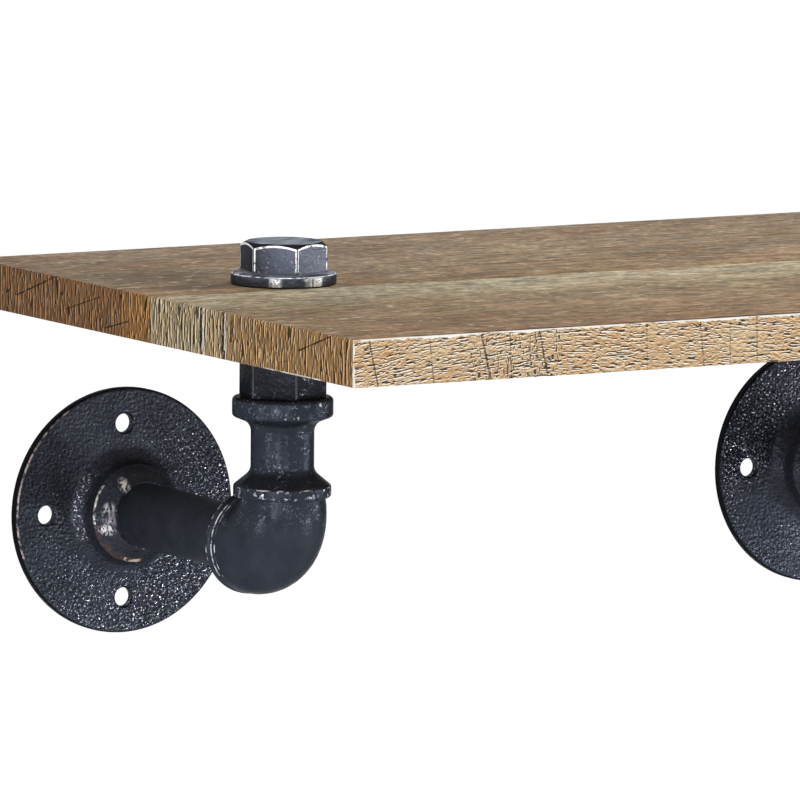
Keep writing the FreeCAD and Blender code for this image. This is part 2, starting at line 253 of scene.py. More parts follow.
inlet_outline = rounded([
    (SOCKET, 10.8, 0), (SOCKET, 2.2, 0), (11.6, 0, 0.3), (15.4, 0, 0.5), (16.0, 1.4, 0.6),
    (17.0, 2.1, 0.5), (17.0, 3.2, 0.5), (16.1, 3.9, 0.5), (OUTSIDE, 5.0, 0.4),
    (OUTSIDE, 5.5, 0)])
elbow = first_ring("left_elbow_casting", INLET + OUT * 10.8 * MM, SOCKET, ROUND_SIDES, OUT)
run_rings(inlet_outline, INLET, OUT)
round_bend(Vector((BRACKET_X, -92 * MM, 17 * MM)), 17 * MM, OUTSIDE, MOUTH, 1)
outlet_outline = rounded([
    (MOUTH, -0.2, 0), (MOUTH, 0, 0.15), (11.2, 0, 0.3), (SOCKET, -1.2, 0), (SOCKET, -10.8, 0),
    (WATERWAY, -10.8, 0)])
run_rings(outlet_outline, OUTLET, UP)
WATER_Y = -102.6 * MM  # the waterway turns more tightly
round_bend(Vector((BRACKET_X, WATER_Y, 6.4 * MM)), 6.4 * MM, WATERWAY, WATERWAY, -1)
run_rings([(WATERWAY, 0), (WATERWAY, 5.3)], Vector((BRACKET_X, WATER_Y, 0)), OUT * -1)
close_wall()
finish_shading(elbow)

# %% [markdown]
# ## Riser spool
# The waisted casting between elbow and sleeve has a band at each end. Its threaded spigots run
# into its neighbours, so they are part of it, though nobody sees them.

# %% Riser spool
spool_outline = rounded([
    (6.5, -10, 0), (9.0, -10, 0), (10.2, -8.8, 0), (10.2, 0, 0), (15.9, 0, 0.9),
    (15.9, 3.8, 1.3), (10.3, 8.4, 4.0), (10.3, 24.0, 4.0), (16.4, 26.4, 1.3),
    (16.4, 32.7, 1.3), (10.2, 32.7, 0), (10.2, 41.5, 0), (9.0, 42.7, 0), (6.5, 42.7, 0)])
spool = turned("left_riser_spool_casting", spool_outline, OUTLET, UP, ROUND_SIDES)
finish_shading(spool)

# %% [markdown]
# ## Hexagon sleeve
# Under the board stands a sleeve of hexagon bar with a thread through it. A six-sided ring is
# extruded, its corners and rims are bevelled as wear rounds them, and a round tool bores it.

# %% Hexagon prism
HEX_FLATS = 25.1
HEX_CORNER = HEX_FLATS / 2 / math.cos(math.pi / 6)
HEX_TURN = math.radians(18 - 30)  # a ring of six has its corners at 30 degrees, and 18 is wanted


def hexagon(name, low, high):
    """A closed six-sided prism on the riser axis between two heights in mm."""
    start_clean()
    bpy.ops.mesh.primitive_circle_add(vertices=6, radius=HEX_CORNER * MM, fill_type="NGON",
                                      location=(BRACKET_X, RISER_Y, low * MM),
                                      rotation=(0, 0, HEX_TURN))
    prism = name_it(name)
    bpy.ops.object.mode_set(mode="EDIT")
    bpy.ops.mesh.select_all(action="SELECT")
    bpy.ops.mesh.extrude_region_move(TRANSFORM_OT_translate={"value": (0, 0, (high - low) * MM)})
    face_out()
    return prism


def worn_edges(piece, width, angle, slot_at):
    """Rounds the sharp edges; the new faces take the material in one slot."""
    pick(piece)
    edge = piece.modifiers.new("worn_edges", "BEVEL")
    edge.width = width * MM
    edge.segments = 3
    edge.limit_method = "ANGLE"
    edge.angle_limit = math.radians(angle)
    edge.material = slot_at
    bpy.ops.object.modifier_apply(modifier=edge.name)


SMALLEST_FLAT = 50 * MM ** 2
UPRIGHT = 0.01  # the most that an upright face's normal may rise or fall


def frame_flats(piece, width, low, slot_at):
    """Lays a line of another material round every upright flat above a height in mm."""
    pick(piece)
    bpy.ops.object.mode_set(mode="EDIT")
    bpy.ops.mesh.select_mode(type="FACE")
    bpy.ops.mesh.select_all(action="DESELECT")
    shape = bmesh.from_edit_mesh(piece.data)
    flats = [face for face in shape.faces if abs(face.normal.z) < UPRIGHT
             and face.calc_area() > SMALLEST_FLAT and face.calc_center_median().z > low * MM]
    for face in flats:
        face.select = True
    bmesh.update_edit_mesh(piece.data)
    before = len(piece.data.polygons)
    bpy.ops.mesh.inset(thickness=width * MM, use_individual=True)
    shape = bmesh.from_edit_mesh(piece.data)
    kept = {face.index for face in shape.faces if face.select}
    for face in shape.faces:
        face.select = (not face.select and abs(face.normal.z) < UPRIGHT
                       and any(near.index in kept for edge in face.edges
                               for near in edge.link_faces))
    piece.active_material_index = slot_at
    bmesh.update_edit_mesh(piece.data)
    bpy.ops.object.material_slot_assign()
    bpy.ops.object.mode_set(mode="OBJECT")
    print(piece.name, "has", len(flats), "flats framed,", len(piece.data.polygons) - before,
          "new faces")


# %% Sleeve
sleeve = hexagon("left_hex_sleeve_bar", 49.9, BOTTOM)
bore = turned("sleeve_bore", [(SOCKET, 40), (SOCKET, 80)], RISER, UP, 96, solid=True)
carve(sleeve, bore, "DIFFERENCE")

# %% [markdown]
# ## Flanged cap
# The cap is one casting: a hexagon head whose corners are turned off by a cone, which leaves an
# arc on each face, a round flange under it, and a threaded shank that goes down through the
# board. The head is the part of a prism that lies inside a turned crown.

# %% Cap
CROWN_TOP = 100.3
cap = hexagon("left_flanged_cap_casting", 89.9, CROWN_TOP)
crown_drop = (18 - 12) * math.tan(math.radians(30))
carve(cap, turned("crown", [(18, 88), (18, CROWN_TOP - crown_drop), (12, CROWN_TOP)], RISER, UP,
                  ROUND_SIDES, solid=True), "INTERSECT")
carve(cap, turned("flange_and_shank", rounded([
    (9.0, 61.5, 0), (10.2, 62.7, 0), (10.2, TOP, 0), (16.6, TOP, 0.2), (17.1, 87.0, 0.3),
    (17.1, 90.0, 0.7), (15.4, 90.4, 0)]), RISER, UP, ROUND_SIDES, solid=True), "UNION")

# %% [markdown]
# ## Edge bands
# A laminator glues thin bands round the board and breaks their outer edges with a scraper. Each
# band is a slim box, and only the edges that face out of the board are rounded.

# %% Edge bands
def edge_band(name, node, outward):
    """A band in the box of its node, with the edges round its outward face broken."""
    low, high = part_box(node)
    start_clean()
    middle = [(a + b) / 2 for a, b in zip(low, high)]
    bpy.ops.mesh.primitive_cube_add(size=1, location=middle)
    bpy.context.object.scale = [b - a for a, b in zip(low, high)]
    band = name_it(name)
    bpy.ops.object.mode_set(mode="EDIT")
    bpy.ops.mesh.select_mode(type="EDGE")
    bpy.ops.mesh.select_all(action="DESELECT")
    shape = bmesh.from_edit_mesh(band.data)
    side = 0 if outward[0] else 1
    outer = max(outward[side] * corner.co[side] for corner in shape.verts)
    for edge in shape.edges:
        edge.select = all(outward[side] * corner.co[side] > outer - 0.1 * MM
                          for corner in edge.verts)
    bmesh.update_edit_mesh(band.data)
    bpy.ops.mesh.bevel(offset=0.4 * MM, segments=3, affect="EDGES")
    bpy.ops.object.mode_set(mode="OBJECT")
    return band


bands = [edge_band(side + "_edge_strip", side + "_edge_band", outward) for side, outward in (
    ("left", (-1, 0)), ("right", (1, 0)), ("front", (0, -1)), ("rear", (0, 1)))]
for band in bands:
    finish_shading(band)


# %% [markdown]
# ## One small helper for the finishes
# Every finish below is a tree of nodes on Object coordinates, which are metres here, so a
# pattern can be written in the millimetres of the real thing. Colours are written as the hex
# codes that a paint card gives and turned into the linear numbers that the shader needs. One
# call opens the tree of a material, and every node after it goes into that tree.

# %% Colour and node helpers
def colour(code):
    """An sRGB hex code as linear red, green, blue and a full alpha."""
    parts = [int(code[at:at + 2], 16) / 255 for at in (1, 3, 5)]
    return [v / 12.92 if v <= 0.04045 else ((v + 0.055) / 1.055) ** 2.4 for v in parts] + [1]


def wire(node, inputs):
    """Links or sets inputs, which come by name or as a list in the sockets' own order. A node
    is linked by its first output, and any value that is no socket is set."""
    for name, value in inputs.items() if isinstance(inputs, dict) else enumerate(inputs):
        if isinstance(value, bpy.types.Node):
            value = value.outputs[0]
        if isinstance(value, bpy.types.NodeSocket):
            node.id_data.links.new(value, node.inputs[name])
        else:
            node.inputs[name].default_value = colour(value) if isinstance(value, str) else value


def add(kind, inputs=(), stops=(), **settings):
    """Adds a node with its settings, its inputs and the stops of its ramp. A Map Range takes
    its value, then from which two ends, then to which two."""
    node = tree.nodes.new("ShaderNode" + kind)
    for name, value in settings.items():
        setattr(node, name, value)
    wire(node, inputs)
    if stops:
        ramp = node.color_ramp.elements
        while len(ramp) < len(stops):
            ramp.new(0.5)
        for element, (position, code) in zip(ramp, stops):
            element.position = position
            element.color = colour(code) if isinstance(code, str) else (code, code, code, 1)
    return node


def begin(owner):
    """An empty tree of nodes on a material or a world, which add builds in from now on."""
    global tree
    owner.use_nodes = True
    tree = owner.node_tree
    tree.nodes.clear()


def new_finish(name):
    """A new material, its principled shader and the place in millimetres."""
    finish = bpy.data.materials.new(name)
    begin(finish)
    shader = add("BsdfPrincipled")
    add("OutputMaterial", [shader])
    metres = add("TexCoord").outputs["Object"]
    return finish, shader, add("VectorMath", {0: metres, 3: 1 / MM}, operation="SCALE")


MIX_A, MIX_B, MIX_OUT = 6, 7, 2  # the colour sockets of a Mix node


def paint(tone, shade, mask=1.0, share=1.0, how="MIX"):
    """The tone under a coat of shade, laid on where the mask says and thinned to a share."""
    if share < 1:
        shade = paint(tone, shade, share)
    return add("Mix", {0: mask, MIX_A: tone, MIX_B: shade}, data_type="RGBA",
               blend_type=how).outputs[MIX_OUT]


def grain(place, size, start, full, shift=(0, 0, 0), detail=3.0):
    """0 to 1: noise whose spots are size mm long, shown from the level start, whole at full."""
    laid = add("Mapping", {"Vector": place, "Location": shift, "Scale": size},
               vector_type="TEXTURE")
    noise = add("TexNoise", {"Vector": laid, "Scale": 1.0, "Detail": detail, "Roughness": 0.55})
    return add("MapRange", [noise, start, full])


def between(low_high, *masks):
    """The masks multiplied, where every place lies between its low and its high end."""
    masks += tuple(add("Math", [place, (low + high) / 2, (high - low) / 2],
                       operation="COMPARE") for place, low, high in low_high)
    answer = masks[0]
    for mask in masks[1:]:
        answer = add("Math", [answer, mask], operation="MULTIPLY")
    return answer


def patch(place, middle, spread, share):
    """A soft spot: share at its middle, nothing beyond its three reaches in mm."""
    laid = add("Mapping", {"Vector": place, "Location": middle, "Scale": spread},
               vector_type="TEXTURE")
    far = add("VectorMath", [laid], operation="LENGTH").outputs["Value"]
    return add("MapRange", [far, 1, 0.2, 0, share])


# %% [markdown]
# Printed wood looks carved although it is flat, because the printer draws each cut dark with a
# pale lip beside it. The same noise read at two places a little apart gives just that: where
# the two differ one way it is dark, and where they differ the other way it is pale. Real saw
# cuts are a few tenths of a millimetre wide; they are drawn up to a millimetre wide to show.

# %% Carved-looking print
def relief(place, size, step, levels, hard=0.2, detail=3.0):
    """A multiplier round 1; levels are its values from the dark side to the pale side."""
    read = []
    for side in (0.5, -0.5):
        laid = add("Mapping", {"Vector": place, "Location": [side * d for d in step],
                               "Scale": size}, vector_type="TEXTURE")
        read.append(add("TexNoise", {"Vector": laid, "Scale": 1.0, "Detail": detail,
                                     "Roughness": 0.6}))
    slope = add("Math", [read[0], read[1]], operation="SUBTRACT")
    spread = add("MapRange", [slope, -hard, hard])
    last = len(levels) - 1
    return add("ValToRGB", [spread], stops=[
        (at / last, level) for at, level in enumerate(levels)])


def strokes(place, tone, size, step, start, ink, lip, shift, where=1.0):
    """Short printed cracks in ink, each with a pale lip one step away: tone and cracks."""
    for move, shade, share, low in ((step, lip, 0.95, start + 0.02),
                                    ((0, 0, 0), ink, 0.92, start)):
        at = [s + m for s, m in zip(shift, move)]
        spots = grain(place, size, low, low + 0.05, shift=at, detail=0)
        spots = add("Math", [spots, where], operation="MULTIPLY")
        tone = paint(tone, shade, spots, share)
    return tone, spots


def old_boards(place, wander, swing, stops):
    """The printed boards' tones from the rear edge to the front; their joints wander."""
    y = add("SeparateXYZ", [place]).outputs["Y"]
    depth = add("MapRange", [y, 0, -DEPTH])
    shaken = add("MapRange", [wander, 0, 1, -swing, swing])
    along = add("Math", [depth, shaken], operation="ADD")
    return add("ValToRGB", [along], stops=stops)


def pressed_print(shader, tone, cracks):
    """The print is matt, and its cracks are pressed a little into the band."""
    bump = add("Bump", {"Height": cracks, "Strength": 0.4, "Distance": -0.2 * MM})
    wire(shader, {"Base Color": tone, "Roughness": 0.75, "Specular IOR Level": 0.1,
                  "Normal": bump})


# %% [markdown]
# ## Wood print on the faces
# The faces are chipboard covered with melamine paper that is printed as old oak: dead matt,
# brown-grey behind a board joint, pale grey-olive just in front of it and warm brown towards
# the front. Flecks run along the board, from broad clouds down to specks of two millimetres.
# Five noises of falling size give that, each one a few tenths darker or paler.

# %% Face print
def face_print():
    """Matt melamine paper with a fine tooth that breaks up what little it reflects."""
    finish, shader, place = new_finish("melamine_oak_print_face")
    x, y, z = add("SeparateXYZ", [place]).outputs
    tone = old_boards(place, grain(place, (60, 14, 20), 0.2, 0.8), 0.008, [
        (0.0, "#94806a"), (0.3, "#928068"), (0.44, "#967f63"), (0.492, "#937a5a"),
        (0.503, "#c0b498"), (0.53, "#b6a98e"), (0.57, "#afa388"), (0.66, "#9b8a6d"),
        (0.78, "#978166"), (1.0, "#957a5d")])
    paler = add("MapRange", [x, -END, 40, 0.92, 1.18])
    tone = paint(tone, paler, how="MULTIPLY")
    for size, swing, shift in (((90, 24, 20), 0.2, (0, 0, 0)), ((36, 6, 9), 0.15, (40, 7, 3)),
                               ((14, 3, 3), 0.2, (3, 1, 2)), ((6, 2.2, 1), 0.4, (9, 1, 2)),
                               ((1.8, 2.2, 1), 0.32, (2, 4, 6))):
        spots = grain(place, size, 0.3, 0.7, shift=shift, detail=2)
        shade = add("MapRange", [spots, 0, 1, 1 - swing, 1 + swing])
        tone = paint(tone, shade, how="MULTIPLY")
    for size, shift, stain, share in (((75, 12, 20), (40, 7, 3), "#8f5a26", 0.3),
                                      ((24, 5, 9), (14, 27, 3), "#9a6a4a", 0.4),
                                      ((28, 5, 9), (4, 17, 5), "#6e7068", 0.4)):
        tone = paint(tone, stain, grain(place, size, 0.52, 0.7, shift=shift), share)
    # painted shadow: two soft dark patches on the top to the left of the left cap, where its
    # shade falls
    for middle, spread, share in (((-165, -78, TOP), (36, 32, 9), 0.65),
                                  ((-164, -106, TOP), (24, 11, 9), 0.85)):
        tone = paint(tone, "#54463a", patch(place, middle, spread, share))
    for size, start, full, shift, ink, share in (
            ((14, 2.8, 1), 0.62, 0.7, (11, 5, 2), "#3f342a", 0.6),
            ((6, 2.2, 1), 0.66, 0.72, (21, 15, 7), "#e6ddcd", 0.7)):
        fleck = grain(place, size, start, full, shift=shift, detail=2)
        tone = paint(tone, ink, fleck, share)
    broken = grain(place, (12, 9, 9), 0.33, 0.5, shift=(5, 5, 5))
    front_line = between(((y, -DEPTH - 0.5, 3.1 - DEPTH), (x, -170, END), (z, 80, 90)), broken)
    tone = paint(tone, "#2c221a", front_line)
    tooth = grain(place, (1.6, 0.6, 1), 0.3, 0.7)  # really far finer: coarser to show
    rough = add("MapRange", [tooth, 0, 1, 0.7, 0.85])
    bump = add("Bump", {"Height": tooth, "Strength": 0.25, "Distance": 0.15 * MM})
    wire(shader, {"Base Color": tone, "Roughness": rough, "Specular IOR Level": 0.1,
                  "Normal": bump})
    return finish


# %% [markdown]
# ## Wood print on the left and right ends
# The end bands carry the same joint as the face, but their print imitates rough-sawn end wood:
# dense upright streaks, dark and pale, a few slanted saw marks, and upright gaps with a white
# edge where two old boards meet. A broken white line along the lower edge is a painted highlight.

# %% End print
def mark(place, start, end, width, strength, side="Y"):
    """0 to 1: a drawn line from one point to the other, in mm, that breaks up as it goes."""
    split = add("SeparateXYZ", [place]).outputs
    run = (end[0] - start[0]) / (end[1] - start[1])
    shake = grain(place, (1.2, 1.2, 1.2), 0.0, 1.0, shift=(start[0], 0, 0))
    lean = add("Math", [split["Z"], -run, run * start[1] - start[0]], operation="MULTIPLY_ADD")
    off = add("Math", [lean, split[side]], operation="ADD")
    wobble = add("Math", [shake, width * 1.6, off], operation="MULTIPLY_ADD")
    centre = add("Math", [wobble, width * 0.8], operation="SUBTRACT")
    far = add("Math", [centre], operation="ABSOLUTE")
    line = add("MapRange", [far, width / 2, width, strength, 0])
    low, high = sorted((start[1], end[1]))
    above = add("Math", [split["Z"], low], operation="GREATER_THAN")
    below = add("Math", [split["Z"], high], operation="LESS_THAN")
    gaps = grain(place, (1.5, 1.5, 2.5), 0.3, 0.5, shift=(2, start[0], 4))
    return between((), line, above, below, gaps)


def end_print():
    """Matt print of sawn end wood, whose dark streaks are pressed in."""
    finish, shader, place = new_finish("melamine_oak_print_end")
    _, y, z = add("SeparateXYZ", [place]).outputs
    boards = old_boards(place, grain(place, (6, 6, 9), 0.2, 0.8), 0.002, [
        (0.0, "#785739"), (0.40, "#785739"), (0.43, "#8b643b"), (0.482, "#90693d"),
        (0.487, "#9c8b6e"), (0.62, "#a08e6f"), (0.68, "#9a8362"), (0.72, "#957752"),
        (1.0, "#95734d")])
    blotch = grain(place, (20, 9, 8), 0.3, 0.7)
    shade = add("MapRange", [blotch, 0, 1, 0.8, 1.2])
    tone = paint(boards, shade, how="MULTIPLY")
    streaks = relief(place, (1, 1.05, 6), (0, 0.6, 0), (0.2, 0.56, 0.95, 1.32, 1.9))
    tone = paint(tone, streaks, how="MULTIPLY")
    lip = paint(boards, (2.8, 3.0, 3.3, 1), how="MULTIPLY")
    for size, shift in (((1, 0.8, 3), (4, 3, 8)), ((1, 1.15, 8), (0, 0, 0))):
        tone, dark = strokes(place, tone, size, (0, -0.7, 0), 0.62, "#0d0805", lip, shift)
    for start, end, width, strength, ink in (
            ((-33, TOP - 8.8), (-60, TOP), 1.2, 1.0, "#1a130e"),
            ((-67, TOP - 9.8), (-90, TOP - 3.5), 1.0, 0.9, "#1a130e"),
            ((-93, TOP - 13.3), (-109, TOP - 9.4), 1.4, 1.0, "#1a130e"),
            ((-207, TOP - 12), (-213, TOP - 10.8), 0.9, 0.9, "#1a130e"),
            ((-219, TOP - 7), (-239, TOP - 0.4), 1.1, 1.0, "#1a130e"),
            ((-158, BOTTOM), (-158.1, TOP), 0.5, 1.0, "#f4f4f2"),
            ((-156.6, BOTTOM), (-156.7, TOP), 1.1, 1.0, "#0c0b0e"),
            ((-172, TOP - 12), (-172.1, TOP), 0.4, 0.9, "#f4f4f2"),
            ((-170.8, BOTTOM), (-171, TOP), 0.9, 1.0, "#0c0b0e"),
            ((-176, TOP - 9), (-176.3, TOP - 1), 0.6, 0.9, "#17110d"),
            ((-144, TOP - 8), (-144.2, TOP - 1), 0.7, 0.9, "#17110d")):
        tone = paint(tone, ink, mark(place, start, end, width, strength))
    # painted highlight: a broken white line along the lower edge
    ragged = grain(place, (5, 6, 3), 0.4, 0.6, shift=(2, 2, 2))
    bottom_edge_highlight = between(((y, -234, -198), (z, BOTTOM - 0.5, BOTTOM + 0.5)), ragged)
    pressed_print(shader, paint(tone, "#efece4", bottom_edge_highlight), dark)
    return finish


# %% [markdown]
# ## Wood print on the front
# The front band is light tan, with short dark cracks that run nearly along the board, each with
# a pale lower lip, and upright saw lines across it. The print leans and sags along the board, so
# its place is sheared before the cracks are drawn. A ragged white line along its top edge and its
# left end is a painted highlight.

# %% Front print
def front_print():
    """Matt print of weathered side wood, whose cracks are pressed in."""
    finish, shader, place = new_finish("melamine_oak_print_front")
    x, _, z = add("SeparateXYZ", [place]).outputs
    tone = paint("#cfb590", "#c6a077", grain(place, (16, 9, 7), 0.35, 0.7))
    rise = add("MapRange", [x, -END, -125, 0, 9])
    fall = add("MapRange", [x, -165, END, 0, 22])
    lean = add("Math", [fall, rise], operation="SUBTRACT")
    leant = add("VectorMath", [place, add("CombineXYZ", {"Z": lean})])
    for size, step in (((2.4, 2, 0.9), 0.5), ((0.9, 2, 0.5), 0.28)):
        mottle = relief(leant, size, (0, 0, step), (0.45, 0.8, 1.0, 1.12, 1.34), 0.18)
        tone = paint(tone, mottle, how="MULTIPLY")
    sawn = between(((x, -152, -118),))
    for at, size, start, where in ((place, (0.45, 2, 2.2), 0.63, sawn),
                                   (leant, (1.5, 2, 0.36), 0.645, 1.0),
                                   (leant, (3.2, 2, 0.42), 0.645, 1.0)):
        tone, dark = strokes(at, tone, size, (0.1, 0, -0.34), start, "#1c0d03",
                             "#fff3de", (size[0], 3, 5), where)
    for high, low, width, strength in (
            (-187.7, -184.3, 0.35, 0.8), (-166, -164.3, 0.3, 0.6), (-147.3, -143.7, 0.45, 0.95),
            (-137, -136, 0.3, 0.6), (-126.3, -123, 0.35, 0.8), (-67.3, -65.7, 0.3, 0.7),
            (-87, -86.6, 0.25, 0.5), (-56.3, -56, 0.25, 0.5), (-46.3, -46, 0.3, 0.6)):
        line = mark(place, (high, TOP), (low, BOTTOM), width, strength, side="X")
        tone = paint(tone, "#3c2e20", line)
    # painted highlight: a ragged white line along the top edge and the left end of the front
    ragged = grain(place, (8, 5, 3), 0.3, 0.62, shift=(2, 2, 2))
    for side, width, edge in ((z, 1.1, TOP), (x, -0.6, -END)):
        reached = add("Math", [ragged, width, side], operation="MULTIPLY_ADD")
        white = add("MapRange", [reached, edge, edge + width * 0.2])
        tone = paint(tone, "#f4f1ea", white)
    pressed_print(shader, tone, dark)
    return finish


# %% [markdown]
# ## Black iron
# Pipe and fittings are black malleable iron: iron under a thin burnt-on oxide skin. Half of
# what the skin sends back is a dull glow and half is a bluish mirror of a few percent, so the
# finish is about half metal, its plain specular is off, and the base colour is what the eye
# gets. The edge tint is grey, because so rough a skin doesn't turn bright where it is seen
# slantwise. Sand from the mould leaves the flange pebbled like orange peel, with grains a
# little over a millimetre wide. The fittings come from finer sand and are nearly smooth.

# %% Black iron
def off_centre(place):
    """X counted outwards from the nearer bracket, Y, Z, and Y from the riser, all in mm."""
    x, y, z = add("SeparateXYZ", [place]).outputs
    side = add("Math", [x], operation="ABSOLUTE")
    off = add("Math", [side, BRACKET_AT], operation="SUBTRACT")
    return off, y, z, add("Math", [y, RISER_AT], operation="SUBTRACT")


def reach(one, two):
    """The distance from an axis, given the two places across it."""
    arm = add("CombineXYZ", [one, two])
    return add("VectorMath", [arm], operation="LENGTH").outputs["Value"]


def black_iron(name, deep, lit, pebble, depth, swell=0.25, rough=(0.42, 0.5)):
    """Oxide-black cast iron; pebble and depth are the width and height of its grain in mm,
    swell the height of its broad waves, rough the glossiest and dullest roughness."""
    finish, shader, place = new_finish(name)
    tone = paint(deep, lit, grain(place, (9, 9, 9), 0.3, 0.7))
    gloss = grain(place, (3.5, 3.5, 3.5), 0.35, 0.65, shift=(5, 5, 5))
    rough = add("MapRange", [gloss, 0, 1, rough[1], rough[0]])
    shaken = add("TexNoise", {"Vector": place, "Scale": 0.9, "Detail": 2.0})
    laid = paint(place, shaken.outputs["Color"], 0.35, how="LINEAR_LIGHT")
    cells = add("TexVoronoi", {"Vector": laid, "Scale": 1 / pebble, "Smoothness": 0.5},
                feature="SMOOTH_F1").outputs["Distance"]
    dome = add("MapRange", [cells, 0, 0.7, 1, 0])
    waves = grain(place, (5, 5, 5), 0.2, 0.8, detail=2)
    broad = add("Bump", {"Height": waves, "Strength": 0.6, "Distance": swell * MM})
    bump = add("Bump", {"Height": dome, "Strength": 1.0, "Distance": depth * MM, "Normal": broad})
    wire(shader, {"Base Color": tone, "Roughness": rough, "Normal": bump, "Metallic": 0.6,
                  "Specular IOR Level": 0, "Specular Tint": (0.5, 0.5, 0.5, 1)})
    return finish, shader, place, tone, bump


# %% [markdown]
# The flange is the roughest casting. Its pebbles fade towards one corner and inside one smooth
# patch. Single grains are bare, painted near-white so that they stand in for glints as well. The
# tone is painted darker towards the middle of the board as shade, and a dark line round the rim
# stands for the shade of its side. Rim, hub and coned nose carry painted highlights: broken,
# slightly reddish lines, a crescent of glints at the hub's root and bright patches on the nose.

# %% Flange iron
def flange_iron():
    """Sand-cast flange: pebbled, with bare grains, painted shade, glints and highlights."""
    finish, shader, place, tone, bump = black_iron(
        "oxide_black_sand_casting", "#2e3138", "#3b3e47", pebble=1.25, depth=0.17, swell=0.08)
    off, back, height, _ = off_centre(place)
    out = reach(off, height)
    x = add("SeparateXYZ", [place]).outputs["X"]
    side = add("Math", [x], operation="SIGN")
    upper = add("Math", [height, side], operation="MULTIPLY")
    corner = add("Math", [off, upper], operation="SUBTRACT")
    plain = add("MapRange", [corner, -5, 35, 1, 0.5])
    root = add("MapRange", [out, 24, 20])
    coarse = add("Math", [plain, root], operation="MAXIMUM")
    smooth = patch(place, (BRACKET_AT - 24, -4, -13), (19, 9, 17), 1)
    sandy = add("Math", [1.0, smooth], operation="SUBTRACT")
    coarse = add("Math", [coarse, sandy], operation="MULTIPLY")
    wire(bump, {"Strength": coarse})
    dull = add("MapRange", [coarse, 0.5, 1, 0.36, 0.17])
    metal = add("MapRange", [out, 20, 24, 0.35, 0.7])
    grit = relief(place, (1.1, 1.1, 1), (0.4, 0, -0.4), (0.42, 0.8, 1.0, 1.3, 2.4), detail=2)
    # painted shade: the tone darkens towards the middle of the board
    inner = add("MapRange", [off, -35, 15, 0.66, 1])
    tone = paint(tone, inner, how="MULTIPLY")
    rubbed = add("MapRange", [out, 17, 25, 0.35, 1])
    tone = paint(tone, paint(tone, grit, how="MULTIPLY"), rubbed)
    # bare grain tips, painted near-white so that they stand in for glints too
    sand = grain(place, (0.8, 0.8, 0.65), 0.0, 1.0, shift=(3, 3, 1), detail=0)
    lift = add("MapRange", [corner, -30, 30, 0.05, -0.06])
    sand = add("Math", [sand, lift], operation="ADD")
    bare_tip_glints = add("MapRange", [sand, 0.7, 0.95])
    bare_tip_glints = between(((out, 22.5, RIM - 0.7), (back, -8, -1.6)), bare_tip_glints, sandy)
    tone = paint(tone, "#e6e9f1", bare_tip_glints)
    # painted shade: a dark line round the rim stands for the shade of its side
    tone = paint(tone, "#15161a", add("MapRange", [out, RIM - 0.6, RIM - 0.3]))
    # painted highlights: broken, slightly reddish lines on the rim and round the hub
    broken = grain(place, (2, 2, 2), 0.4, 0.6, shift=(7, 2, 9))
    for edges, shade in (
            (((out, RIM - 1, RIM - 0.4), (back, -4, -2.6), (off, 20, 50), (height, -14, 50)),
             "#a2948f"),
            (((out, 14.6, HUB), (back, -14.5, -9), (off, -2, 17), (height, -17, -3)), "#52433f"),
            (((out, 15.8, 16.3), (back, -12.7, -11.3), (off, 12, 17), (height, -3, 10)),
             "#e0dad6"),
            (((out, 15.1, 16.2), (back, -14, -11), (off, -1, 5), (height, -17, -13)),
             "#cdb9ae")):
        tone = paint(tone, shade, between(edges, broken))
    # painted glints: a crescent of specks on the outer side of the hub's root
    painted_glitter = add("MapRange", [sand, 0.56, 0.72])
    crescent_glints = between(((out, 17.3, 19.8), (back, -9, -2.5), (off, 9, 20), (height, -9, 13)),
                       painted_glitter)
    tone = paint(tone, "#b2b6c2", crescent_glints)
    # painted highlights: bright broken patches on the coned nose
    here = add("CombineXYZ", [off, back, height])
    chips = grain(place, (1, 1, 1.8), 0.43, 0.55, shift=(3, 8, 1))
    for middle, spread, shade in (((12.6, -16.2, 0), (3, 4, 6), "#8c8590"),
                                  ((7.2, -16.2, 10.2), (2, 4, 4), "#ffffff"),
                                  ((13, -15, -4.6), (3.5, 4, 2.2), "#f4f2f4"),
                                  ((12.8, -16.5, 3), (1.8, 4, 2), "#d8d8de")):
        tone = paint(tone, shade, between((), patch(here, middle, spread, 1), chips))
    wire(shader, {"Base Color": tone, "Roughness": dull, "Metallic": metal})
    return finish


# %% [markdown]
# Elbow, spool and sleeve are smoother castings. Nests of pits show pale where grains of sand
# broke out, bright enough to stand in for glints too, and short broken lines of painted
# highlight lie on the lips of beads and bands.

# %% Fitting iron
def fitting_iron(name, deep, lit, highlight_lines):
    """Elbow, spool and sleeve: nearly smooth, with pale pits, and painted highlights where
    highlight_lines says: an axis, a low and a high end along it, the least reach from it, a
    noise size and level."""
    finish, shader, place, tone, _ = black_iron(name, deep, lit, 1.1, 0.06, rough=(0.16, 0.38))
    off, back, height, step = off_centre(place)
    # pale pits, painted bright enough to stand in for glints as well
    pits = grain(place, (0.9, 0.9, 0.9), 0.58, 0.7, detail=2)
    nests = between(((height, 7, 90),), grain(place, (7, 7, 7), 0.5, 0.68, shift=(1, 5, 3)))
    tone = paint(tone, "#acb2c0", between((), pits, nests), 0.75)
    ways = {"Y": (back, reach(off, height), (height, -10, 13)),
            "Z": (height, reach(off, step), (height, 0, 60))}
    # painted highlights: short broken bright lines on beads and bands
    for axis, low, high, inner, size, start in highlight_lines:
        along, out, level = ways[axis]
        broken = grain(place, (size, size, size), start, start + 0.15, shift=(7, 2, 9))
        edge = between(((along, low, high), (out, inner, 18), level), broken)
        tone = paint(tone, "#e2e5ec", edge)
    wire(shader, {"Base Color": tone, "Metallic": 0.5})
    return finish
